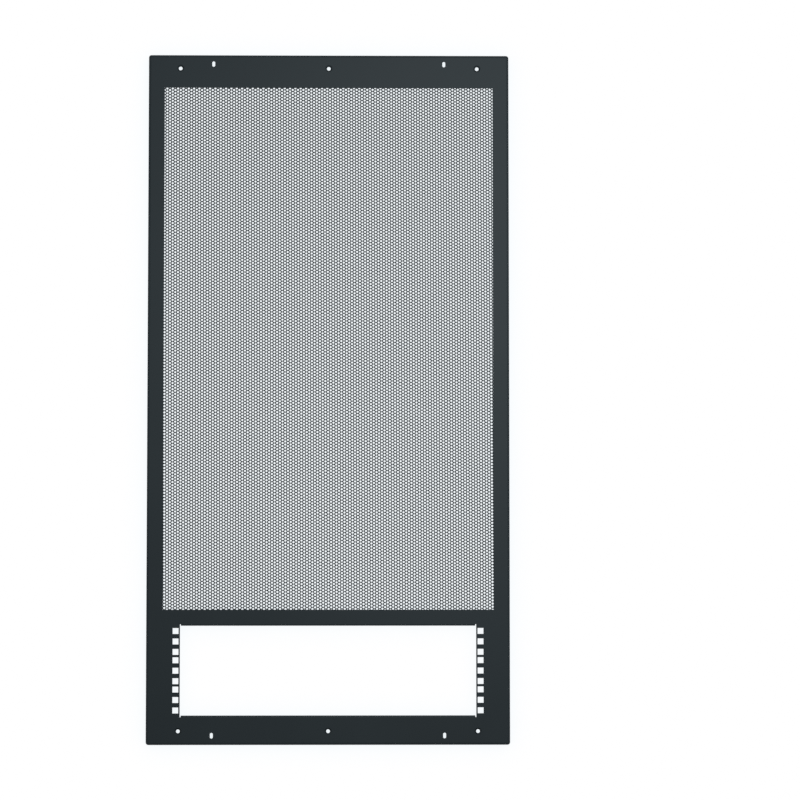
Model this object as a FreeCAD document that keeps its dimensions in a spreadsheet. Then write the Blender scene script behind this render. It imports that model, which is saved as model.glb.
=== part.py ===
# Vented rack top panel: a folded sheet-steel pan with a large window, a perforated screen welded behind that
# window, and a rack opening with square-holed rails near one end.
# The panel lies as it does on a rack, finished face up. X is across it, Y runs along it with the rack opening
# at the -Y end, and Z is up from the lower edges of the flanges. All sizes are in millimetres.
import FreeCAD, Part
import math
import os
import Sketcher

# Driving dimensions, one spreadsheet cell each
SIZES = {
    # Folded pan: the sheet, its folds and the bars of metal left around the two cut-outs
    "panel_length": 1060.0,
    "pan_depth": 19.0,
    "sheet_thickness": 1.5,
    "bend_radius": 2.5,  # inside of the folds around the rim
    "side_border": 24.8,
    "rear_bar": 51.0,
    "crossbar": 24.4,
    "front_bar": 44.5,
    # Rack opening: standard rack units and the square holes of its two rails
    "rack_units": 3,
    "rack_unit": 44.45,
    "opening_clearance": 3.25,
    "rail_spacing": 465.12,  # across the rack, between the two columns of square holes
    "rail_to_side": 45.0,  # from a column of square holes to the panel's side
    "rail_hole": 9.0,
    "rail_holes_per_unit": 3,
    "rail_hole_pitch": 15.875,
    "rail_strip": 2.1,  # metal between a square hole and the opening
    "lip_depth": 12.0,  # of the stiffening lips turned down along the opening
    "lip_bend_radius": 0.8,  # inside of their folds
    "lip_relief": 1.5,  # gap beside each end of a lip
    # Screw holes in formed dimples, and the adjusting slots beside them
    "screw_hole": 5.8,
    "dimple_mouth": 10.8,
    "dimple_land": 0.9,  # straight length of the bore below the cone
    "screws_per_bar": 3,
    "screw_to_end": 20.8,
    "screw_to_side": 49.0,
    "slot_width": 4.6,
    "slot_length": 8.5,
    "slot_to_end": 14.2,
    "slot_to_side": 100.0,
    # Perforated screen
    "screen_thickness": 1.2,
    "screen_overlap": 10.0,  # behind the pan, beyond each edge of the window
    "vent_pitch": 62.0,
    "vent_flats": 43.9,  # across the flats of a six-sided hole
}

COUNTERSINK_ANGLE = 90.0  # of a flat-headed screw
NEAR = 0.01  # two heights closer than this are level

# Sketcher's own numbers for a sketch's origin and axis, and for the points of a line or an arc
ORIGIN_POINT = (-1, 1)
H_AXIS = ORIGIN_POINT[0]
START, END, CENTRE = range(1, 4)

# Sizes and places that follow from the driving dimensions
PANEL_WIDTH = "(Sizes.rail_spacing + 2 * Sizes.rail_to_side)"
FOLD_OUTSIDE = "(Sizes.bend_radius + Sizes.sheet_thickness)"
LIP_OUTSIDE = "(Sizes.lip_bend_radius + Sizes.sheet_thickness)"
WEB_UNDERSIDE = "(Sizes.pan_depth - Sizes.sheet_thickness)"
OPENING_LENGTH = "(Sizes.rack_units * Sizes.rack_unit + Sizes.opening_clearance)"
OPENING_WIDTH = "(Sizes.rail_spacing - Sizes.rail_hole - 2 * Sizes.rail_strip)"
OPENING_CENTRE = f"(Sizes.front_bar + {OPENING_LENGTH} / 2 - Sizes.panel_length / 2)"
FIRST_UNIT = f"({OPENING_CENTRE} - (Sizes.rack_units - 1) / 2 * Sizes.rack_unit)"
FIRST_RAIL_HOLE = f"({FIRST_UNIT} - (Sizes.rail_holes_per_unit - 1) / 2 * Sizes.rail_hole_pitch)"
WINDOW_WIDTH = f"({PANEL_WIDTH} - 2 * Sizes.side_border)"
BARS = "(Sizes.rear_bar + Sizes.crossbar + Sizes.front_bar)"
WINDOW_LENGTH = f"(Sizes.panel_length - {BARS} - {OPENING_LENGTH})"
WINDOW_CENTRE = f"(Sizes.panel_length / 2 - Sizes.rear_bar - {WINDOW_LENGTH} / 2)"
SCREW_ROW = f"({PANEL_WIDTH} - 2 * Sizes.screw_to_side)"
SCREW_BARS = "(Sizes.panel_length - 2 * Sizes.screw_to_end)"
SLOT_ROW = f"({PANEL_WIDTH} - 2 * Sizes.slot_to_side)"
SLOT_BARS = "(Sizes.panel_length - 2 * Sizes.slot_to_end)"
DIMPLE_CONE = "(Sizes.dimple_mouth - Sizes.screw_hole) / 2"
DIMPLE_DROP = f"({DIMPLE_CONE} + Sizes.dimple_land - Sizes.sheet_thickness)"
DIMPLE_OUTSIDE = f"(Sizes.dimple_mouth + 2 * Sizes.sheet_thickness * tan({COUNTERSINK_ANGLE / 4} deg))"
VENT_COLUMN_STEP = "(Sizes.vent_pitch * sqrt(3) / 2)"
VENT_CORNERS = "(Sizes.vent_flats * 2 / sqrt(3))"
SIDE_COLUMNS = f"floor(({WINDOW_WIDTH} - {VENT_CORNERS}) / 2 / {VENT_COLUMN_STEP})"
EVEN_COLUMNS = f"(2 * floor({SIDE_COLUMNS} / 2) + 1)"
ODD_COLUMNS = f"(2 * floor(({SIDE_COLUMNS} + 1) / 2))"
EVEN_ROWS = f"(2 * floor(({WINDOW_LENGTH} - Sizes.vent_flats) / 2 / Sizes.vent_pitch) + 1)"
ODD_ROWS = f"(2 * floor(({WINDOW_LENGTH} - Sizes.vent_flats) / 2 / Sizes.vent_pitch + 1 / 2))"

doc = FreeCAD.newDocument("vented_rack_top_panel")


def make_size_sheet():
    sheet = doc.addObject("Spreadsheet::Sheet", "Sizes")
    for row, (alias, value) in enumerate(SIZES.items(), start=1):
        sheet.set(f"A{row}", alias)
        sheet.set(f"B{row}", str(value))
        sheet.setAlias(f"B{row}", alias)
    doc.recompute()


def make_body(name):
    body = doc.addObject("PartDesign::Body", name)
    body.Label = name
    return body


def origin_feature(body, role):
    return next(item for item in body.Origin.OriginFeatures if item.Role == role)


def make_sketch(body, name, plane="XY_Plane", x="0", y="0", z="0"):
    """A sketch on one of the body's origin planes, with its own origin at x, y in that plane and z off it."""
    sketch = body.newObject("Sketcher::SketchObject", name)
    sketch.AttachmentSupport = (origin_feature(body, plane), [""])
    sketch.MapMode = "FlatFace"
    for axis, place in (("x", x), ("y", y), ("z", z)):
        sketch.setExpression(f"AttachmentOffset.Base.{axis}", place)
    return sketch


def make_feature(body, kind, name, settings, sizes):
    """A feature at the tip of the body, with fixed settings and with sizes bound to expressions."""
    feature = body.newObject(f"PartDesign::{kind}", name)
    for key, value in settings.items():
        setattr(feature, key, value)
    for key, expression in sizes.items():
        feature.setExpression(key, expression)
    doc.recompute()
    return feature


def make_pattern(body, name, originals, sketch, along, across=None):
    """Copies features along a sketch's vertical axis and, if across is given, along its horizontal axis too.
    along and across are each (number of copies, distance from the first to the last)."""
    settings = {"Originals": originals, "Direction": (sketch, ["V_Axis"])}
    sizes = dict(zip(("Occurrences", "Length"), along))
    if across:
        settings["Direction2"] = (sketch, ["H_Axis"])
        sizes.update(zip(("Occurrences2", "Length2"), across))
    pattern = make_feature(body, "LinearPattern", name, settings, sizes)
    if originals:
        body.Tip = pattern
    return pattern


def constrain(sketch, kind, *what):
    sketch.addConstraint(Sketcher.Constraint(kind, *what))


def dimension(sketch, name, kind, *what, size):
    """A named dimension of the sketch, with the expression in size as its value."""
    index = sketch.addConstraint(Sketcher.Constraint(kind, *what, sketch.evalExpression(size)))
    sketch.renameConstraint(index, name)
    sketch.setExpression(f"Constraints.{name}", size)


def add_line(sketch, start, end):
    return sketch.addGeometry(Part.LineSegment(FreeCAD.Vector(*start), FreeCAD.Vector(*end)))


def add_arc(sketch, centre, radius, first_degrees, last_degrees):
    circle = Part.Circle(FreeCAD.Vector(*centre), FreeCAD.Vector(0, 0, 1), radius)
    first, last = math.radians(first_degrees), math.radians(last_degrees)
    return sketch.addGeometry(Part.ArcOfCircle(circle, first, last))


def add_polygon(sketch, corners):
    """A closed outline of straight sides, given its corners in turn."""
    sides = [add_line(sketch, start, end) for start, end in zip(corners, corners[1:] + corners[:1])]
    for side, following in zip(sides, sides[1:] + sides[:1]):
        constrain(sketch, "Coincident", side, END, following, START)
    return sides


def add_rectangle(sketch, width, length):
    """A rectangle centred on the sketch's origin."""
    x, y = sketch.evalExpression(width) / 2, sketch.evalExpression(length) / 2
    front, right, rear, left = add_polygon(sketch, [(-x, -y), (x, -y), (x, y), (-x, y)])
    for side in (front, rear):
        constrain(sketch, "Horizontal", side)
    for side in (left, right):
        constrain(sketch, "Vertical", side)
    constrain(sketch, "Symmetric", front, START, right, END, *ORIGIN_POINT)
    dimension(sketch, "width", "DistanceX", front, START, front, END, size=width)
    dimension(sketch, "length", "DistanceY", right, START, right, END, size=length)


def add_circle(sketch, radius, construction=False):
    """A circle about the sketch's origin."""
    circle = Part.Circle(FreeCAD.Vector(), FreeCAD.Vector(0, 0, 1), radius)
    index = sketch.addGeometry(circle, construction)
    constrain(sketch, "Coincident", index, CENTRE, *ORIGIN_POINT)
    return index


def add_hexagon(sketch, flats):
    """A regular hexagon centred on the sketch's origin, with flats across its top and bottom."""
    radius = sketch.evalExpression(flats) / math.sqrt(3)
    turns = [math.radians(60 * corner) for corner in range(6)]
    sides = add_polygon(sketch, [(radius * math.cos(turn), radius * math.sin(turn)) for turn in turns])
    through_corners = add_circle(sketch, radius, construction=True)
    for side in sides:
        constrain(sketch, "PointOnObject", side, START, through_corners)
    for side in sides[1:]:
        constrain(sketch, "Equal", sides[0], side)
    top, bottom = sides[1], sides[4]
    constrain(sketch, "Horizontal", top)
    dimension(sketch, "flats", "DistanceY", bottom, START, top, END, size=flats)


def add_round_hole(sketch, diameter):
    circle = add_circle(sketch, sketch.evalExpression(diameter) / 2)
    dimension(sketch, "diameter", "Diameter", circle, size=diameter)


def add_slot(sketch, width, length):
    """A round-ended slot along the sketch's vertical axis, centred on its origin."""
    radius = sketch.evalExpression(width) / 2
    reach = sketch.evalExpression(length) / 2 - radius
    rear = add_arc(sketch, (0, reach), radius, 0, 180)
    left = add_line(sketch, (-radius, reach), (-radius, -reach))
    front = add_arc(sketch, (0, -reach), radius, 180, 360)
    right = add_line(sketch, (radius, -reach), (radius, reach))
    for side, following in ((rear, left), (left, front), (front, right), (right, rear)):
        constrain(sketch, "Tangent", side, END, following, START)
    constrain(sketch, "Vertical", left)
    constrain(sketch, "Equal", rear, front)
    constrain(sketch, "Symmetric", rear, CENTRE, front, CENTRE, *ORIGIN_POINT)
    dimension(sketch, "end_radius", "Radius", rear, size=f"{width} / 2")
    dimension(sketch, "end_centres", "DistanceY", front, CENTRE, rear, CENTRE, size=f"{length} - {width}")


def add_lip_section(sketch, edge, depth):
    """A sheet folded down a quarter turn. Its outer face stands at edge from the sketch's origin, and the
    flat web that it hangs from is level with that origin."""
    face_x, foot_y = sketch.evalExpression(edge), -sketch.evalExpression(depth)
    inside, outside = sketch.evalExpression("Sizes.lip_bend_radius"), sketch.evalExpression(LIP_OUTSIDE)
    web_x, back_x = face_x + outside, face_x + outside - inside
    outer = add_arc(sketch, (web_x, -outside), outside, 90, 180)
    face = add_line(sketch, (face_x, -outside), (face_x, foot_y))
    foot = add_line(sketch, (face_x, foot_y), (back_x, foot_y))
    back = add_line(sketch, (back_x, foot_y), (back_x, -outside))
    inner = add_arc(sketch, (web_x, -outside), inside, 90, 180)
    joint = add_line(sketch, (web_x, inside - outside), (web_x, 0))
    constrain(sketch, "Tangent", outer, END, face, START)
    constrain(sketch, "Coincident", face, END, foot, START)
    constrain(sketch, "Coincident", foot, END, back, START)
    constrain(sketch, "Tangent", back, END, inner, END)
    constrain(sketch, "Coincident", inner, START, joint, START)
    constrain(sketch, "Coincident", joint, END, outer, START)
    constrain(sketch, "Coincident", outer, CENTRE, inner, CENTRE)
    constrain(sketch, "Vertical", face)
    constrain(sketch, "Horizontal", foot)
    constrain(sketch, "Vertical", joint)
    constrain(sketch, "Vertical", joint, END, outer, CENTRE)
    constrain(sketch, "PointOnObject", joint, END, H_AXIS)
    dimension(sketch, "inner_radius", "Radius", inner, size="Sizes.lip_bend_radius")
    dimension(sketch, "outer_radius", "Radius", outer, size=LIP_OUTSIDE)
    dimension(sketch, "face_place", "DistanceX", *ORIGIN_POINT, face, END, size=edge)
    dimension(sketch, "lip_depth", "DistanceY", face, END, *ORIGIN_POINT, size=depth)


def cut_through(body, name, sketch):
    return make_feature(body, "Pocket", name, {"Profile": sketch, "Type": "ThroughAll"}, {})


def make_pan(body):
    """The open-bottomed pan: a block with its top and corner edges rounded, hollowed out from below."""
    outline = make_sketch(body, "pan_outline")
    add_rectangle(outline, PANEL_WIDTH, "Sizes.panel_length")
    block = make_feature(body, "Pad", "pan_block", {"Profile": outline}, {"Length": "Sizes.pan_depth"})
    edges = enumerate(block.Shape.Edges, start=1)
    rounded = [f"Edge{number}" for number, edge in edges if edge.BoundBox.ZMax > NEAR]
    folds = make_feature(body, "Fillet", "pan_folds", {"Base": (block, rounded)}, {"Radius": FOLD_OUTSIDE})
    faces = enumerate(folds.Shape.Faces, start=1)
    underside = [f"Face{number}" for number, face in faces if face.BoundBox.ZMax < NEAR]
    hollow = {"Base": (folds, underside), "Reversed": True}
    make_feature(body, "Thickness", "pan_hollow", hollow, {"Value": "Sizes.sheet_thickness"})


def make_cut_outs(body):
    """The screen's window, and the rack opening with a lip folded down along its two long edges."""
    window = make_sketch(body, "window_outline", y=WINDOW_CENTRE, z="Sizes.pan_depth")
    add_rectangle(window, WINDOW_WIDTH, WINDOW_LENGTH)
    cut_through(body, "window", window)
    opening = make_sketch(body, "opening_outline", y=OPENING_CENTRE, z="Sizes.pan_depth")
    add_rectangle(opening, OPENING_WIDTH, f"{OPENING_LENGTH} + 2 * {LIP_OUTSIDE}")
    cut_through(body, "opening", opening)
    section = make_sketch(body, "lip_section", "YZ_Plane", x=OPENING_CENTRE, y="Sizes.pan_depth")
    add_lip_section(section, f"{OPENING_LENGTH} / 2", "Sizes.lip_depth")
    lip_length = {"Length": f"{OPENING_WIDTH} - 2 * Sizes.lip_relief"}
    lip = make_feature(body, "Pad", "crossbar_lip", {"Profile": section, "SideType": "Symmetric"}, lip_length)
    mirror = {"Originals": [lip], "MirrorPlane": (section, ["V_Axis"])}
    body.Tip = make_feature(body, "Mirrored", "both_lips", mirror, {})


def make_rail_holes(body):
    """Square holes down both sides of the opening, on the standard rack spacing."""
    place = {"x": "-Sizes.rail_spacing / 2", "y": FIRST_RAIL_HOLE, "z": "Sizes.pan_depth"}
    first = make_sketch(body, "rail_hole_outline", **place)
    add_rectangle(first, "Sizes.rail_hole", "Sizes.rail_hole")
    hole = cut_through(body, "rail_hole", first)
    in_unit = ("Sizes.rail_holes_per_unit", "(Sizes.rail_holes_per_unit - 1) * Sizes.rail_hole_pitch")
    in_rail = ("Sizes.rack_units", "(Sizes.rack_units - 1) * Sizes.rack_unit")
    steps = [
        make_pattern(body, "holes_in_unit", [], first, in_unit),
        make_pattern(body, "holes_in_rails", [], first, in_rail, across=("2", "Sizes.rail_spacing")),
    ]
    copies = {"Originals": [hole], "Transformations": steps}
    body.Tip = make_feature(body, "MultiTransform", "rail_holes", copies, {})


def make_screw_holes(body):
    """Countersunk holes for flat-headed screws, in dimples because the sheet is thinner than the heads."""
    place = {"x": f"-{SCREW_ROW} / 2", "y": f"-{SCREW_BARS} / 2"}
    dimple_outline = make_sketch(body, "dimple_outline", **place, z=WEB_UNDERSIDE)
    add_round_hole(dimple_outline, DIMPLE_OUTSIDE)
    downwards = {"Profile": dimple_outline, "Reversed": True, "TaperAngle": -COUNTERSINK_ANGLE / 2}
    dimple = make_feature(body, "Pad", "dimple", downwards, {"Length": DIMPLE_DROP})
    bore_outline = make_sketch(body, "screw_hole_outline", **place, z="Sizes.pan_depth")
    add_round_hole(bore_outline, "Sizes.screw_hole")
    countersunk = {
        "Profile": bore_outline,
        "DepthType": "ThroughAll",
        "HoleCutType": "Countersink",
        "HoleCutCustomValues": True,
        "HoleCutCountersinkAngle": COUNTERSINK_ANGLE,
    }
    bore_sizes = {"Diameter": "Sizes.screw_hole", "HoleCutDiameter": "Sizes.dimple_mouth"}
    bore = make_feature(body, "Hole", "screw_hole", countersunk, bore_sizes)
    across = ("Sizes.screws_per_bar", SCREW_ROW)
    make_pattern(body, "screw_holes", [dimple, bore], bore_outline, ("2", SCREW_BARS), across)


def make_slots(body):
    """Short slots in both end bars, along the panel."""
    place = {"x": f"-{SLOT_ROW} / 2", "y": f"-{SLOT_BARS} / 2", "z": "Sizes.pan_depth"}
    outline = make_sketch(body, "slot_outline", **place)
    add_slot(outline, "Sizes.slot_width", "Sizes.slot_length")
    slot = cut_through(body, "slot", outline)
    make_pattern(body, "slots", [slot], outline, ("2", SLOT_BARS), ("2", SLOT_ROW))


def make_top_frame():
    body = make_body("top_frame")
    make_pan(body)
    make_cut_outs(body)
    make_rail_holes(body)
    make_screw_holes(body)
    make_slots(body)
    return body


def make_vents(body, name, columns, rows):
    """Six-sided holes in every second column, spaced evenly about the middle of the window."""
    width, length = f"({columns} - 1) * 2 * {VENT_COLUMN_STEP}", f"({rows} - 1) * Sizes.vent_pitch"
    place = {"x": f"-{width} / 2", "y": f"{WINDOW_CENTRE} - {length} / 2", "z": WEB_UNDERSIDE}
    outline = make_sketch(body, f"{name}_outline", **place)
    add_hexagon(outline, "Sizes.vent_flats")
    vent = cut_through(body, f"{name}_first", outline)
    make_pattern(body, name, [vent], outline, (rows, length), (columns, width))


def make_vent_screen():
    """A flat sheet against the pan's underside, perforated with a honeycomb of staggered columns."""
    body = make_body("vent_screen")
    outline = make_sketch(body, "screen_outline", y=WINDOW_CENTRE, z=WEB_UNDERSIDE)
    overlap = "2 * Sizes.screen_overlap"
    add_rectangle(outline, f"{WINDOW_WIDTH} + {overlap}", f"{WINDOW_LENGTH} + {overlap}")
    downwards = {"Profile": outline, "Reversed": True}
    make_feature(body, "Pad", "screen_sheet", downwards, {"Length": "Sizes.screen_thickness"})
    make_vents(body, "even_vents", EVEN_COLUMNS, EVEN_ROWS)
    make_vents(body, "odd_vents", ODD_COLUMNS, ODD_ROWS)
    return body


def check(bodies):
    """Stops if any object failed, a cut removed nothing, or a sub-part isn't one sound solid."""
    for item in doc.Objects:
        if {"Invalid", "Error"} & set(item.State):
            raise RuntimeError(f"{item.Name} failed: {item.State}")
        if item.isDerivedFrom("PartDesign::Pocket") and item.Shape.Volume >= item.BaseFeature.Shape.Volume:
            raise RuntimeError(f"{item.Name} cut nothing")
    for body in bodies:
        if body.Shape.isNull() or not body.Shape.isValid() or len(body.Shape.Solids) != 1:
            raise RuntimeError(f"{body.Label} is not one valid solid")


make_size_sheet()
sub_parts = [make_top_frame(), make_vent_screen()]
doc.recompute()
check(sub_parts)
os.makedirs("parts", exist_ok=True)
for sub_part in sub_parts:
    sub_part.Shape.exportStep(f"parts/{sub_part.Label}.step")
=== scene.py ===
import math
import bmesh
import bpy
from mathutils import Euler, Matrix, Vector


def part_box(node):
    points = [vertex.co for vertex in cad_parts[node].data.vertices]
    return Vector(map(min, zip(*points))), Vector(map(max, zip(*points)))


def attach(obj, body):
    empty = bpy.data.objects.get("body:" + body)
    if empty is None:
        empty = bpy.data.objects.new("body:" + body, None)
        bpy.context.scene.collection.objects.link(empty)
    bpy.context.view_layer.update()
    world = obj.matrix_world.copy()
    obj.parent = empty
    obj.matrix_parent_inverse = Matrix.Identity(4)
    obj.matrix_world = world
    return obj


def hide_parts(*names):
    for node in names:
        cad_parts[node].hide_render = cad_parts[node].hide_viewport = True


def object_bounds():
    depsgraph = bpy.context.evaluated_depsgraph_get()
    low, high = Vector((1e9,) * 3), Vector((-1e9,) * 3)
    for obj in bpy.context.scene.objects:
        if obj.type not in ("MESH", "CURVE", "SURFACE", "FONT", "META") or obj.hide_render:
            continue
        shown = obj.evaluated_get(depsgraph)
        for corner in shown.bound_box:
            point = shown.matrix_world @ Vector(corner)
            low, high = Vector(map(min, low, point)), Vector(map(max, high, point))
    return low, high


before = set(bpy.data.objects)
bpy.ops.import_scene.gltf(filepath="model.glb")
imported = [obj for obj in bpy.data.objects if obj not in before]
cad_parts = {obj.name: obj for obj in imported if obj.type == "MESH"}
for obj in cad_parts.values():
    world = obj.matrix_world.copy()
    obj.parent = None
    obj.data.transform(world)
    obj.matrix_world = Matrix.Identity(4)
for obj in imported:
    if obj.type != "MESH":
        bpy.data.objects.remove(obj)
cad_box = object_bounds()

UP = Vector((0, 0, 1))
WHITE = (1, 1, 1, 1)

# Perforated sheet: round holes in staggered columns
HOLE_PITCH = 0.004745
HOLE_DIAMETER = 0.00336
HOLE_SIDES = 8
COLUMN_STEP = HOLE_PITCH * math.sqrt(3) / 2
LATTICE_TURN = 0.0036  # radians, as the sheet sits in its window
LATTICE_SHIFT = Vector((0.0012, 0.00045, 0))  # of the holes from the sheet's middle
LENGTHS_OF_SHEET = 6  # parts that the sheet is made in, side by side
SPARE_STOCK = 0.008  # past each edge of the sheet, for its turn and shift
WELD_NEAR = 1e-6
SHARP_FOLD = math.radians(60)  # folds past this, such as a hole's rim, are shaded as edges

# Powder coat: an orange-peel grain, on a film whose tone drifts from place to place
COAT_COLOUR = (0.0188, 0.025, 0.0281)
COAT_ROUGHNESS = 0.42
COAT_SPECULAR = 0.08
DRIFT_SCALE = 7.0  # patches in a metre
DRIFT_DETAIL = 3.0
GRAIN_SCALE = 900.0  # grains in a metre
GRAIN_DETAIL = 2.0
GRAIN_HEIGHT = 0.00008
GRAIN_STRENGTH = 0.25
TONE_SPREAD = 0.14  # share by which the coat's colour is deeper or paler
GRAIN_IN_TONE = 0.3  # share of that spread, the rest being drift
DRIFT_IN_ROUGHNESS = 0.10
GRAIN_IN_ROUGHNESS = 0.06

# Pale floor, and the light
FLOOR_SIDE = 12.0
# FLOOR_COLOUR is cool, so that the painted shade close to the object is bluish
FLOOR_COLOUR = (0.66, 0.77, 0.88, 1)
FLOOR_PAINTED_SHADE_TINT = (0.9, 0.965, 1, 1)  # painted shade: colour of the white floor where the object hems it in
FLOOR_SHADOW = 0.06  # painted shade: share of its light that such a place loses, as ambient occlusion finds it hemmed in, to the lit floor with its real shadow
SHADOW_REACH = 0.04  # from the object
SHADOW_SAMPLES = 8
WHITE_STRENGTH = 1.0  # at which the floor and the background look white
AMBIENT = 0.2
KEY_LIGHT_PLACE = Vector((0.35, 0.4, 1.6))
KEY_LIGHT_SIDE = 1.0
KEY_LIGHT_WATTS = 24
KEY_LIGHT_COLOUR = (0.9, 0.97, 1.0)

# Camera, in its own axes: where the middle of the panel's face lies, and how the panel is turned
PICTURE_SIDE = 800
FOCAL_PIXELS = 3200
FACE_FROM_CAMERA = Vector((-0.1097, 0.0037, -4.906))
FACE_TURN_DEGREES = (-3.877, 0.989, -0.049)


class Shade:
    """An output of a shader node. Arithmetic on it adds Math nodes to the same tree."""

    def __init__(self, tree, socket=None):
        self.tree = tree
        self.socket = socket

    def node(self, kind, settings=None, sockets=None, output=0):
        """Adds a node of any kind. Its settings come first, then the values or links of its sockets."""
        added = self.tree.nodes.new(f"ShaderNode{kind}")
        for name, value in (settings or {}).items():
            setattr(added, name, value)
        for key, value in (sockets or {}).items():
            if isinstance(value, Shade):
                self.tree.links.new(value.socket, added.inputs[key])
            else:
                added.inputs[key].default_value = value
        return Shade(self.tree, added.outputs[output] if added.outputs else None)

    def maths(self, operation, *values):
        return self.node("Math", {"operation": operation}, dict(enumerate(values)))

    def mix_colours(self, share, first, second):
        """A share of 0 gives the first colour, and 1 the second."""
        factor, colour_a, colour_b, colour_out = 0, 6, 7, 2  # the node's sockets for colours
        sockets = {factor: share, colour_a: first, colour_b: second}
        return self.node("Mix", {"data_type": "RGBA"}, sockets, colour_out)

    def mix_shaders(self, share, first, second):
        return self.node("MixShader", {}, {0: share, 1: first, 2: second})

    def __add__(self, other):
        return self.maths("ADD", self, other)

    def __sub__(self, other):
        return self.maths("SUBTRACT", self, other)

    def __rsub__(self, other):
        return self.maths("SUBTRACT", other, self)

    def __mul__(self, other):
        return self.maths("MULTIPLY", self, other)

    __radd__ = __add__
    __rmul__ = __mul__


def new_material(name):
    """A material with no nodes yet, and the shade that adds them."""
    material = bpy.data.materials.new(name)
    material.use_nodes = True
    material.node_tree.nodes.clear()
    return material, Shade(material.node_tree)


def powder_coat(name):
    """Satin black coat, whose tone, roughness and grain follow the same two noises."""
    material, shade = new_material(name)
    place = shade.node("TexCoord", output="Object")
    drift = shade.node("TexNoise", {}, {"Vector": place, "Scale": DRIFT_SCALE, "Detail": DRIFT_DETAIL})
    grain = shade.node("TexNoise", {}, {"Vector": place, "Scale": GRAIN_SCALE, "Detail": GRAIN_DETAIL})
    deep, pale = (
        (*(spread * part for part in COAT_COLOUR), 1) for spread in (1 - TONE_SPREAD, 1 + TONE_SPREAD)
    )
    tone = shade.mix_colours(drift * (1 - GRAIN_IN_TONE) + grain * GRAIN_IN_TONE, deep, pale)
    smoothest = COAT_ROUGHNESS - (DRIFT_IN_ROUGHNESS + GRAIN_IN_ROUGHNESS) / 2
    roughness = drift * DRIFT_IN_ROUGHNESS + grain * GRAIN_IN_ROUGHNESS + smoothest
    bump = shade.node(
        "Bump", {}, {"Strength": GRAIN_STRENGTH, "Distance": GRAIN_HEIGHT, "Height": grain}
    )
    coat = shade.node(
        "BsdfPrincipled",
        {},
        {
            "Base Color": tone,
            "Roughness": roughness,
            "Specular IOR Level": COAT_SPECULAR,
            "Normal": bump,
        },
    )
    shade.node("OutputMaterial", {}, {"Surface": coat})
    return material


def seen_white(shade):
    """1 for what is seen, directly or in a glossy or clear surface, and 0 for the light on things."""
    outputs = shade.node("LightPath").socket.node.outputs
    camera, glossy, clear = (
        Shade(shade.tree, outputs[name])
        for name in ("Is Camera Ray", "Is Glossy Ray", "Is Transmission Ray")
    )
    return shade.maths("MAXIMUM", camera, shade.maths("MAXIMUM", glossy, clear))


def white_floor():
    """Pale floor, white in the open; near the object, painted shade from ambient occlusion and a faint
    real shadow.
    """
    material, shade = new_material("white_floor")
    pale = shade.node("BsdfDiffuse", {}, {"Color": FLOOR_COLOUR})
    open_share = shade.node(
        "AmbientOcclusion", {"samples": SHADOW_SAMPLES}, {"Distance": SHADOW_REACH}, "AO"
    )
    # Painted shade: where ambient occlusion finds the object close, the floor's white is tinted cool and
    # partly swapped for the lit floor.
    hemmed_in = 1 - open_share
    painted_shade_tint = shade.mix_colours(hemmed_in, WHITE, FLOOR_PAINTED_SHADE_TINT)
    glow = shade.node("Emission", {}, {"Color": painted_shade_tint, "Strength": WHITE_STRENGTH})
    shadowed = shade.mix_shaders(hemmed_in * FLOOR_SHADOW, glow, pale)
    surface = shade.mix_shaders(seen_white(shade), pale, shadowed)
    shade.node("OutputMaterial", {}, {"Surface": surface})
    return material


def make_white_world():
    world = bpy.data.worlds.new("white_world")
    world.use_nodes = True
    world.node_tree.nodes.clear()
    shade = Shade(world.node_tree)
    ambient = shade.node("Background", {}, {"Color": WHITE, "Strength": AMBIENT})
    white = shade.node("Background", {}, {"Color": WHITE, "Strength": WHITE_STRENGTH})
    surface = shade.mix_shaders(seen_white(shade), ambient, white)
    shade.node("OutputWorld", {}, {"Surface": surface})
    bpy.context.scene.world = world


def new_object(name, data):
    made = bpy.data.objects.new(name, data)
    bpy.context.scene.collection.objects.link(made)
    return made


def mesh_object(name, bm, material):
    mesh = bpy.data.meshes.new(name)
    bm.to_mesh(mesh)
    bm.free()
    mesh.materials.append(material)
    return new_object(name, mesh)


def corners_of(geometry):
    return [item for item in geometry if isinstance(item, bmesh.types.BMVert)]


def everything_in(bm):
    return bm.verts[:] + bm.edges[:] + bm.faces[:]


def repeat(bm, count, step):
    """Copies the whole mesh until there are count of it, each a step further on."""
    first = everything_in(bm)
    for number in range(1, count):
        copy = bmesh.ops.duplicate(bm, geom=first)
        bmesh.ops.translate(bm, vec=number * step, verts=corners_of(copy["geom"]))


def hole_tile():
    """The sheet round one hole: a diamond as tall as the holes' pitch, which tiles the sheet."""
    bm = bmesh.new()
    turn = math.tau / HOLE_SIDES
    radius = HOLE_DIAMETER / 2 * math.sqrt(turn / math.sin(turn))  # so the hole keeps its area
    bmesh.ops.create_circle(bm, segments=HOLE_SIDES, radius=radius)
    diamond = bmesh.ops.create_circle(bm, segments=4, radius=1.0)
    bmesh.ops.scale(bm, vec=(COLUMN_STEP, HOLE_PITCH / 2, 1), verts=diamond["verts"])
    bmesh.ops.triangle_fill(bm, edges=bm.edges[:], use_beauty=True, normal=UP)
    return bm


def flat_length(pairs, rows):
    """Pairs of columns, the first hole at the origin and each second column half a pitch up."""
    bm = hole_tile()
    repeat(bm, 2, Vector((COLUMN_STEP, HOLE_PITCH / 2, 0)))
    repeat(bm, rows, Vector((0, HOLE_PITCH, 0)))
    repeat(bm, pairs, Vector((2 * COLUMN_STEP, 0, 0)))
    bmesh.ops.remove_doubles(bm, verts=bm.verts[:], dist=WELD_NEAR)
    return bm


def trim(bm, low, high):
    """Cuts a flat mesh off square at the sheet's edges."""
    for corner, outward in ((low, -1), (high, 1)):
        for axis in (0, 1):
            normal = Vector((0, 0, 0))
            normal[axis] = outward
            bmesh.ops.bisect_plane(
                bm,
                geom=everything_in(bm),
                dist=WELD_NEAR,
                plane_co=corner,
                plane_no=normal,
                clear_outer=True,
            )


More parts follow.
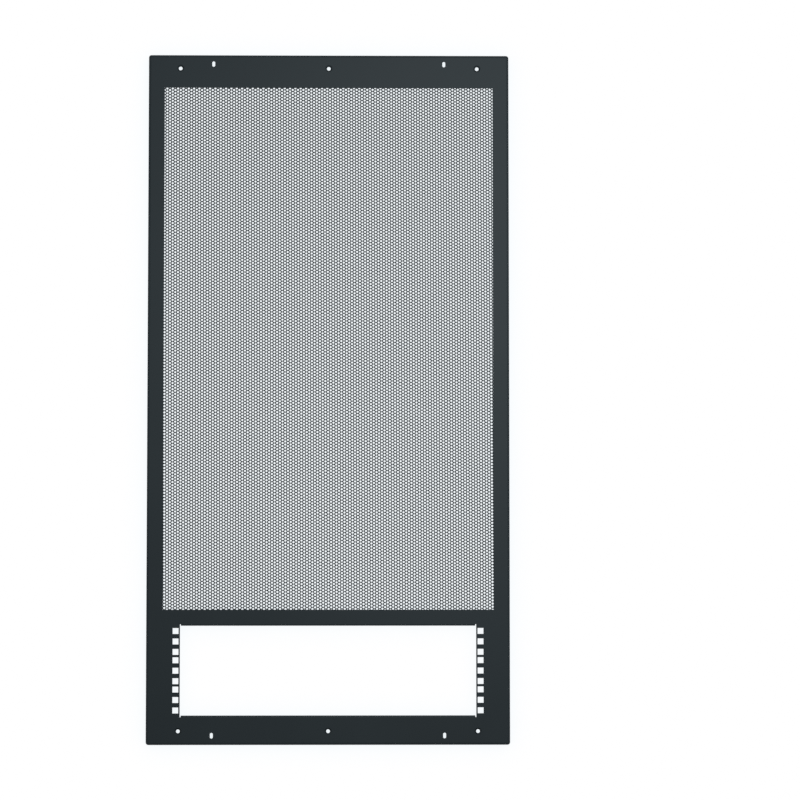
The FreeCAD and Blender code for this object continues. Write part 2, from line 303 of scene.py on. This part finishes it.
def thicken(bm, thickness):
    """Gives a flat mesh its thickness, downwards, with round walls in its holes."""
    lower = bmesh.ops.extrude_face_region(bm, geom=bm.faces[:], use_keep_orig=True)
    bmesh.ops.translate(bm, vec=-thickness * UP, verts=corners_of(lower["geom"]))
    bmesh.ops.recalc_face_normals(bm, faces=bm.faces[:])
    for face in bm.faces:
        face.smooth = True
    for edge in bm.edges:
        edge.smooth = edge.calc_face_angle(math.pi) < SHARP_FOLD


def make_vent_screen(material):
    """The perforated sheet behind the window, cut from stock so that its edges run through the holes."""
    low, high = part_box("vent_screen")
    middle = Vector(((low.x + high.x) / 2, (low.y + high.y) / 2, high.z))
    pairs = math.ceil((high.x - low.x + 2 * SPARE_STOCK) / (2 * COLUMN_STEP * LENGTHS_OF_SHEET))
    rows = math.ceil((high.y - low.y + 2 * SPARE_STOCK) / HOLE_PITCH)
    length = flat_length(pairs, rows)
    length_width = 2 * pairs * COLUMN_STEP
    first_x = (COLUMN_STEP - LENGTHS_OF_SHEET * length_width) / 2
    first_y = (1 - rows) * HOLE_PITCH / 2
    turned = Matrix.Translation(middle + LATTICE_SHIFT) @ Matrix.Rotation(LATTICE_TURN, 4, "Z")
    for number in range(LENGTHS_OF_SHEET):
        bm = length.copy()
        offset = Vector((first_x + number * length_width, first_y, 0))
        bmesh.ops.transform(bm, matrix=turned @ Matrix.Translation(offset), verts=bm.verts[:])
        trim(bm, low, high)
        thicken(bm, high.z - low.z)
        part = mesh_object(f"vent_screen_part_{number + 1}", bm, material)
        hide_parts("vent_screen")
        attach(part, "root")
    length.free()


def make_floor():
    bm = bmesh.new()
    bmesh.ops.create_grid(bm, x_segments=1, y_segments=1, size=FLOOR_SIDE / 2)
    mesh_object("floor", bm, white_floor())


def make_key_light():
    """A square soft box that faces the middle of the panel."""
    data = bpy.data.lights.new("key_light", "AREA")
    data.shape = "SQUARE"
    data.size = KEY_LIGHT_SIDE
    data.energy = KEY_LIGHT_WATTS
    data.color = KEY_LIGHT_COLOUR
    lamp = new_object("key_light", data)
    lamp.location = KEY_LIGHT_PLACE
    lamp.rotation_euler = (-KEY_LIGHT_PLACE).to_track_quat("-Z", "Y").to_euler()


def make_camera(face_height):
    data = bpy.data.cameras.new("camera")
    data.lens = data.sensor_width * FOCAL_PIXELS / PICTURE_SIDE
    camera = new_object("camera", data)
    turn = Euler([math.radians(part) for part in FACE_TURN_DEGREES]).to_matrix().to_4x4()
    seen = Matrix.Translation(FACE_FROM_CAMERA) @ turn @ Matrix.Translation(-face_height * UP)
    camera.matrix_world = seen.inverted()
    bpy.context.scene.camera = camera


bpy.context.scene.view_settings.view_transform = "Standard"
bpy.context.scene.cycles.use_denoising = False  # it would smear holes that are three pixels apart

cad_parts["top_frame"].material_slots[0].material = powder_coat("frame_coat")
make_vent_screen(powder_coat("screen_coat"))
make_floor()
make_white_world()
make_key_light()
make_camera(cad_box[1].z)
